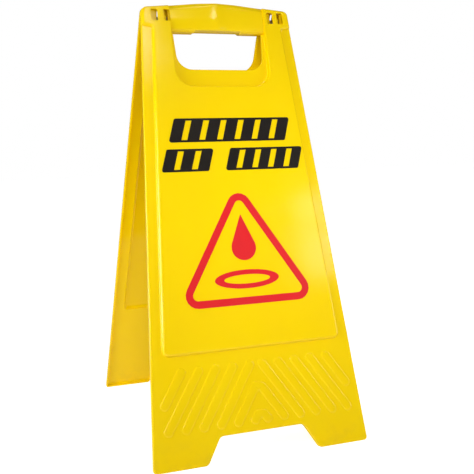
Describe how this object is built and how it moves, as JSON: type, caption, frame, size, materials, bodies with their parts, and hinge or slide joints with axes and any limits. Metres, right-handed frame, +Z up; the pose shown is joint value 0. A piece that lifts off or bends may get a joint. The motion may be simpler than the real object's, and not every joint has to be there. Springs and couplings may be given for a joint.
{
  "type": "wet floor sign",
  "caption": "Folding A-frame floor sign: two moulded plastic trays with carrying handles, hinged at the top on short pins, with vinyl warning graphics.",
  "frame": {"origin": "on the floor, midway between the two trays' feet and midway across the sign", "axes": "+Z up; +X across the sign along the hinge axis, to the right as the front is read; the front tray's feet are at -Y and the rear tray's at +Y"},
  "size_m": [0.3018, 0.3596, 0.6062],
  "materials": {
    "yellow_plastic": "glossy moulded polypropylene",
    "pin_plastic": "moulded nylon",
    "black_vinyl": "satin vinyl film",
    "red_vinyl": "satin vinyl film"
  },
  "bodies": {
    "front": {"front_panel": "yellow_plastic", "left_hinge_pin": "pin_plastic", "right_hinge_pin": "pin_plastic", "front_upper_stripes": "black_vinyl", "front_lower_stripes_short": "black_vinyl", "front_lower_stripes_long": "black_vinyl", "front_warning_triangle": "red_vinyl", "front_warning_drop": "red_vinyl", "front_warning_ripple": "red_vinyl"},
    "rear": {"rear_panel": "yellow_plastic", "rear_upper_stripes": "black_vinyl", "rear_lower_stripes_short": "black_vinyl", "rear_lower_stripes_long": "black_vinyl", "rear_warning_triangle": "red_vinyl", "rear_warning_drop": "red_vinyl", "rear_warning_ripple": "red_vinyl"}
  },
  "joints": [
    {"name": "fold", "type": "hinge", "parent": "front", "child": "rear", "pos_m": [0, 0, 0.58295], "axis": [1, 0, 0], "range_deg": [-33, 0]}
  ]
}
